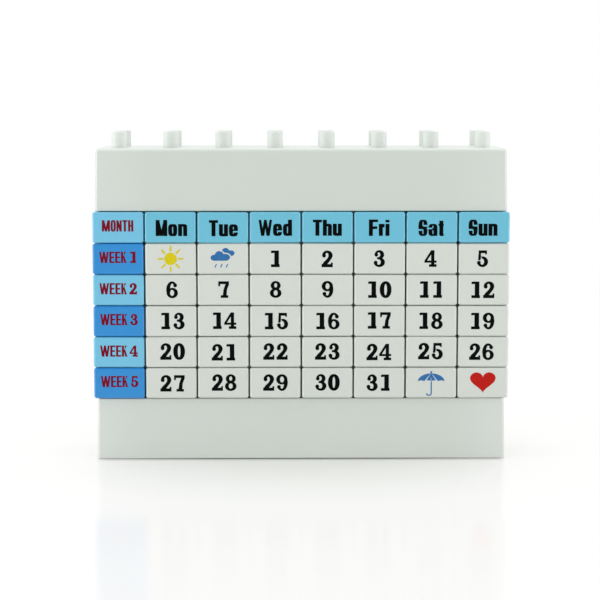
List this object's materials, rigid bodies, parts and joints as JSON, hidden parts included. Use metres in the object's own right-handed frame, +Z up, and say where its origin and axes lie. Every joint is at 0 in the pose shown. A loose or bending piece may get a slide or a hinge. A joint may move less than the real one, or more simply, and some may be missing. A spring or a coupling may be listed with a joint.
{
  "type": "desk calendar with drawer",
  "caption": "Free-standing moulded desk calendar: a field of small push-on date tiles between two plain bands, pegs along its top and a shallow drawer that slides out of one end of the base.",
  "frame": {"origin": "middle of the base plate's underside, on the table", "axes": "+Z up, the tiles face -Y, the drawer slides out along +X"},
  "size_m": [0.1276, 0.033, 0.101],
  "materials": {
    "body_white": "gloss, moulded",
    "tile_white": "gloss, moulded",
    "tile_header": "gloss, moulded",
    "tile_light_blue": "gloss, moulded",
    "tile_dark_blue": "gloss, moulded",
    "drawer_white": "gloss, moulded",
    "screw_steel": "plated"
  },
  "bodies": {
    "body": {"head_cap": "body_white", "peg_panel": "body_white", "back_cover": "body_white", "base_shell": "body_white", "base_plate": "body_white", "head_screws": "screw_steel", "stand_screws": "screw_steel", "plate_screw": "screw_steel"},
    "drawer": {"drawer_tray": "drawer_white"},
    "tile_month": {"tile_month": "tile_light_blue"},
    "tile_weekday_1": {"tile_weekday_1": "tile_header"},
    "tile_weekday_2": {"tile_weekday_2": "tile_header"},
    "tile_weekday_3": {"tile_weekday_3": "tile_header"},
    "tile_weekday_4": {"tile_weekday_4": "tile_header"},
    "tile_weekday_5": {"tile_weekday_5": "tile_header"},
    "tile_weekday_6": {"tile_weekday_6": "tile_header"},
    "tile_weekday_7": {"tile_weekday_7": "tile_header"},
    "tile_week_1": {"tile_week_1": "tile_dark_blue"},
    "tile_week_2": {"tile_week_2": "tile_light_blue"},
    "tile_week_3": {"tile_week_3": "tile_dark_blue"},
    "tile_week_4": {"tile_week_4": "tile_light_blue"},
    "tile_week_5": {"tile_week_5": "tile_dark_blue"},
    "tile_day_01": {"tile_day_01": "tile_white"},
    "tile_day_02": {"tile_day_02": "tile_white"},
    "tile_day_03": {"tile_day_03": "tile_white"},
    "tile_day_04": {"tile_day_04": "tile_white"},
    "tile_day_05": {"tile_day_05": "tile_white"},
    "tile_day_06": {"tile_day_06": "tile_white"},
    "tile_day_07": {"tile_day_07": "tile_white"},
    "tile_day_08": {"tile_day_08": "tile_white"},
    "tile_day_09": {"tile_day_09": "tile_white"},
    "tile_day_10": {"tile_day_10": "tile_white"},
    "tile_day_11": {"tile_day_11": "tile_white"},
    "tile_day_12": {"tile_day_12": "tile_white"},
    "tile_day_13": {"tile_day_13": "tile_white"},
    "tile_day_14": {"tile_day_14": "tile_white"},
    "tile_day_15": {"tile_day_15": "tile_white"},
    "tile_day_16": {"tile_day_16": "tile_white"},
    "tile_day_17": {"tile_day_17": "tile_white"},
    "tile_day_18": {"tile_day_18": "tile_white"},
    "tile_day_19": {"tile_day_19": "tile_white"},
    "tile_day_20": {"tile_day_20": "tile_white"},
    "tile_day_21": {"tile_day_21": "tile_white"},
    "tile_day_22": {"tile_day_22": "tile_white"},
    "tile_day_23": {"tile_day_23": "tile_white"},
    "tile_day_24": {"tile_day_24": "tile_white"},
    "tile_day_25": {"tile_day_25": "tile_white"},
    "tile_day_26": {"tile_day_26": "tile_white"},
    "tile_day_27": {"tile_day_27": "tile_white"},
    "tile_day_28": {"tile_day_28": "tile_white"},
    "tile_day_29": {"tile_day_29": "tile_white"},
    "tile_day_30": {"tile_day_30": "tile_white"},
    "tile_day_31": {"tile_day_31": "tile_white"},
    "tile_sun": {"tile_sun": "tile_white"},
    "tile_cloud": {"tile_cloud": "tile_white"},
    "tile_umbrella": {"tile_umbrella": "tile_white"},
    "tile_heart": {"tile_heart": "tile_white"}
  },
  "joints": [
    {"name": "drawer_slide", "type": "slide", "parent": "body", "child": "drawer", "axis": [1, 0, 0], "range_m": [0, 0.0879]},
    {"name": "tile_month_pull", "type": "slide", "parent": "body", "child": "tile_month", "axis": [0, -1, 0], "range_m": [0, 0.012]},
    {"name": "tile_weekday_1_pull", "type": "slide", "parent": "body", "child": "tile_weekday_1", "axis": [0, -1, 0], "range_m": [0, 0.012]},
    {"name": "tile_weekday_2_pull", "type": "slide", "parent": "body", "child": "tile_weekday_2", "axis": [0, -1, 0], "range_m": [0, 0.012]},
    {"name": "tile_weekday_3_pull", "type": "slide", "parent": "body", "child": "tile_weekday_3", "axis": [0, -1, 0], "range_m": [0, 0.012]},
    {"name": "tile_weekday_4_pull", "type": "slide", "parent": "body", "child": "tile_weekday_4", "axis": [0, -1, 0], "range_m": [0, 0.012]},
    {"name": "tile_weekday_5_pull", "type": "slide", "parent": "body", "child": "tile_weekday_5", "axis": [0, -1, 0], "range_m": [0, 0.012]},
    {"name": "tile_weekday_6_pull", "type": "slide", "parent": "body", "child": "tile_weekday_6", "axis": [0, -1, 0], "range_m": [0, 0.012]},
    {"name": "tile_weekday_7_pull", "type": "slide", "parent": "body", "child": "tile_weekday_7", "axis": [0, -1, 0], "range_m": [0, 0.012]},
    {"name": "tile_week_1_pull", "type": "slide", "parent": "body", "child": "tile_week_1", "axis": [0, -1, 0], "range_m": [0, 0.012]},
    {"name": "tile_week_2_pull", "type": "slide", "parent": "body", "child": "tile_week_2", "axis": [0, -1, 0], "range_m": [0, 0.012]},
    {"name": "tile_week_3_pull", "type": "slide", "parent": "body", "child": "tile_week_3", "axis": [0, -1, 0], "range_m": [0, 0.012]},
    {"name": "tile_week_4_pull", "type": "slide", "parent": "body", "child": "tile_week_4", "axis": [0, -1, 0], "range_m": [0, 0.012]},
    {"name": "tile_week_5_pull", "type": "slide", "parent": "body", "child": "tile_week_5", "axis": [0, -1, 0], "range_m": [0, 0.012]},
    {"name": "tile_day_01_pull", "type": "slide", "parent": "body", "child": "tile_day_01", "axis": [0, -1, 0], "range_m": [0, 0.012]},
    {"name": "tile_day_02_pull", "type": "slide", "parent": "body", "child": "tile_day_02", "axis": [0, -1, 0], "range_m": [0, 0.012]},
    {"name": "tile_day_03_pull", "type": "slide", "parent": "body", "child": "tile_day_03", "axis": [0, -1, 0], "range_m": [0, 0.012]},
    {"name": "tile_day_04_pull", "type": "slide", "parent": "body", "child": "tile_day_04", "axis": [0, -1, 0], "range_m": [0, 0.012]},
    {"name": "tile_day_05_pull", "type": "slide", "parent": "body", "child": "tile_day_05", "axis": [0, -1, 0], "range_m": [0, 0.012]},
    {"name": "tile_day_06_pull", "type": "slide", "parent": "body", "child": "tile_day_06", "axis": [0, -1, 0], "range_m": [0, 0.012]},
    {"name": "tile_day_07_pull", "type": "slide", "parent": "body", "child": "tile_day_07", "axis": [0, -1, 0], "range_m": [0, 0.012]},
    {"name": "tile_day_08_pull", "type": "slide", "parent": "body", "child": "tile_day_08", "axis": [0, -1, 0], "range_m": [0, 0.012]},
    {"name": "tile_day_09_pull", "type": "slide", "parent": "body", "child": "tile_day_09", "axis": [0, -1, 0], "range_m": [0, 0.012]},
    {"name": "tile_day_10_pull", "type": "slide", "parent": "body", "child": "tile_day_10", "axis": [0, -1, 0], "range_m": [0, 0.012]},
    {"name": "tile_day_11_pull", "type": "slide", "parent": "body", "child": "tile_day_11", "axis": [0, -1, 0], "range_m": [0, 0.012]},
    {"name": "tile_day_12_pull", "type": "slide", "parent": "body", "child": "tile_day_12", "axis": [0, -1, 0], "range_m": [0, 0.012]},
    {"name": "tile_day_13_pull", "type": "slide", "parent": "body", "child": "tile_day_13", "axis": [0, -1, 0], "range_m": [0, 0.012]},
    {"name": "tile_day_14_pull", "type": "slide", "parent": "body", "child": "tile_day_14", "axis": [0, -1, 0], "range_m": [0, 0.012]},
    {"name": "tile_day_15_pull", "type": "slide", "parent": "body", "child": "tile_day_15", "axis": [0, -1, 0], "range_m": [0, 0.012]},
    {"name": "tile_day_16_pull", "type": "slide", "parent": "body", "child": "tile_day_16", "axis": [0, -1, 0], "range_m": [0, 0.012]},
    {"name": "tile_day_17_pull", "type": "slide", "parent": "body", "child": "tile_day_17", "axis": [0, -1, 0], "range_m": [0, 0.012]},
    {"name": "tile_day_18_pull", "type": "slide", "parent": "body", "child": "tile_day_18", "axis": [0, -1, 0], "range_m": [0, 0.012]},
    {"name": "tile_day_19_pull", "type": "slide", "parent": "body", "child": "tile_day_19", "axis": [0, -1, 0], "range_m": [0, 0.012]},
    {"name": "tile_day_20_pull", "type": "slide", "parent": "body", "child": "tile_day_20", "axis": [0, -1, 0], "range_m": [0, 0.012]},
    {"name": "tile_day_21_pull", "type": "slide", "parent": "body", "child": "tile_day_21", "axis": [0, -1, 0], "range_m": [0, 0.012]},
    {"name": "tile_day_22_pull", "type": "slide", "parent": "body", "child": "tile_day_22", "axis": [0, -1, 0], "range_m": [0, 0.012]},
    {"name": "tile_day_23_pull", "type": "slide", "parent": "body", "child": "tile_day_23", "axis": [0, -1, 0], "range_m": [0, 0.012]},
    {"name": "tile_day_24_pull", "type": "slide", "parent": "body", "child": "tile_day_24", "axis": [0, -1, 0], "range_m": [0, 0.012]},
    {"name": "tile_day_25_pull", "type": "slide", "parent": "body", "child": "tile_day_25", "axis": [0, -1, 0], "range_m": [0, 0.012]},
    {"name": "tile_day_26_pull", "type": "slide", "parent": "body", "child": "tile_day_26", "axis": [0, -1, 0], "range_m": [0, 0.012]},
    {"name": "tile_day_27_pull", "type": "slide", "parent": "body", "child": "tile_day_27", "axis": [0, -1, 0], "range_m": [0, 0.012]},
    {"name": "tile_day_28_pull", "type": "slide", "parent": "body", "child": "tile_day_28", "axis": [0, -1, 0], "range_m": [0, 0.012]},
    {"name": "tile_day_29_pull", "type": "slide", "parent": "body", "child": "tile_day_29", "axis": [0, -1, 0], "range_m": [0, 0.012]},
    {"name": "tile_day_30_pull", "type": "slide", "parent": "body", "child": "tile_day_30", "axis": [0, -1, 0], "range_m": [0, 0.012]},
    {"name": "tile_day_31_pull", "type": "slide", "parent": "body", "child": "tile_day_31", "axis": [0, -1, 0], "range_m": [0, 0.012]},
    {"name": "tile_sun_pull", "type": "slide", "parent": "body", "child": "tile_sun", "axis": [0, -1, 0], "range_m": [0, 0.012]},
    {"name": "tile_cloud_pull", "type": "slide", "parent": "body", "child": "tile_cloud", "axis": [0, -1, 0], "range_m": [0, 0.012]},
    {"name": "tile_umbrella_pull", "type": "slide", "parent": "body", "child": "tile_umbrella", "axis": [0, -1, 0], "range_m": [0, 0.012]},
    {"name": "tile_heart_pull", "type": "slide", "parent": "body", "child": "tile_heart", "axis": [0, -1, 0], "range_m": [0, 0.012]}
  ]
}
